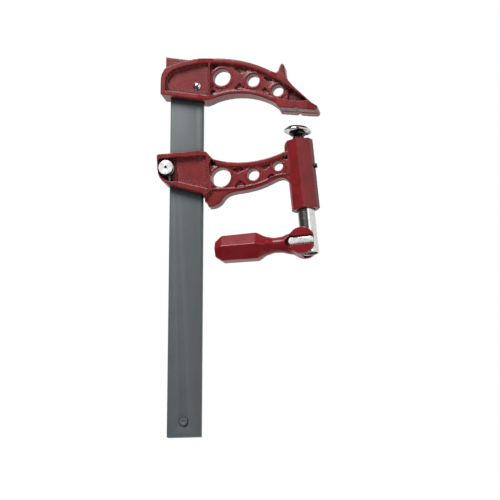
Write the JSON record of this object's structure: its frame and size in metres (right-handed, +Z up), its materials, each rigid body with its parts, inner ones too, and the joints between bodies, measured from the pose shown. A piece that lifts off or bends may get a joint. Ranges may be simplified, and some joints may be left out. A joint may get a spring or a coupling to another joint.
{
  "type": "f clamp",
  "caption": "Bar clamp with cast fixed and sliding jaws, a screw spindle with swivel pad, and a folding handle.",
  "frame": {"origin": "centre of the bar's lower end face", "axes": "+Z up along the bar towards the fixed jaw, +X from the bar towards the spindle, +Y to the back"},
  "size_m": [0.1696, 0.03, 0.4026],
  "materials": {
    "jaw_paint": "dark red paint over rough cast iron, half gloss",
    "bar_steel": "drawn steel, blue-grey, satin",
    "bright_steel": "machined bright steel",
    "bright_zinc": "bright plated steel",
    "dark_steel": "blackened steel, lightly oiled",
    "handle_plastic": "dark red moulded plastic, glossy"
  },
  "bodies": {
    "frame": {"bar": "bar_steel", "bar_stop_pin": "dark_steel", "fixed_jaw": "jaw_paint", "fixed_jaw_rivet": "bright_steel"},
    "brake": {"brake_pin": "bright_steel"},
    "arm": {"sliding_jaw": "jaw_paint", "brake_pin_keeper": "dark_steel", "spindle_nut": "dark_steel", "nut_lock_screw": "dark_steel"},
    "feed_carrier": {"pad_ball": "dark_steel"},
    "spindle": {"spindle_screw": "dark_steel", "spindle_tube": "bright_zinc"},
    "pad_ring": {"pad_collar": "dark_steel"},
    "pad": {"pad_cap": "bright_zinc"},
    "handle": {"handle_grip": "handle_plastic", "handle_pivot_pin": "bright_steel", "handle_pivot_plate": "bright_steel"}
  },
  "joints": [
    {"name": "jaw_slide", "type": "slide", "parent": "frame", "child": "brake", "axis": [0, 0, 1], "range_m": [-0.228, 0.008]},
    {"name": "jaw_tilt", "type": "hinge", "parent": "brake", "child": "arm", "pos_m": [-0.0196, 0, 0.279], "axis": [0, 1, 0], "range_deg": [0, 3.6]},
    {"name": "spindle_feed", "type": "slide", "parent": "arm", "child": "feed_carrier", "axis": [-0.0958, 0, 0.9954], "range_m": [0, 0.0135]},
    {"name": "spindle_spin", "type": "hinge", "parent": "feed_carrier", "child": "spindle", "pos_m": [0.11916, 0, 0.29236], "axis": [-0.0958, 0, 0.9954], "range_deg": [0, 1215]},
    {"name": "pad_nod", "type": "hinge", "parent": "feed_carrier", "child": "pad_ring", "pos_m": [0.11713, 0, 0.31346], "axis": [0.9986, 0, -0.0523], "range_deg": [-10, 10]},
    {"name": "pad_tilt", "type": "hinge", "parent": "pad_ring", "child": "pad", "pos_m": [0.11713, 0, 0.31346], "axis": [0, 1, 0], "range_deg": [-18.5, 1.5]},
    {"name": "handle_fold", "type": "hinge", "parent": "spindle", "child": "handle", "pos_m": [0.12853, 0, 0.19501], "axis": [0, 1, 0], "range_deg": [-93.2, 0]}
  ],
  "couplings": [
    {"joint": "spindle_feed", "follows": "spindle_spin", "m_per_rad": 0.00063662}
  ]
}
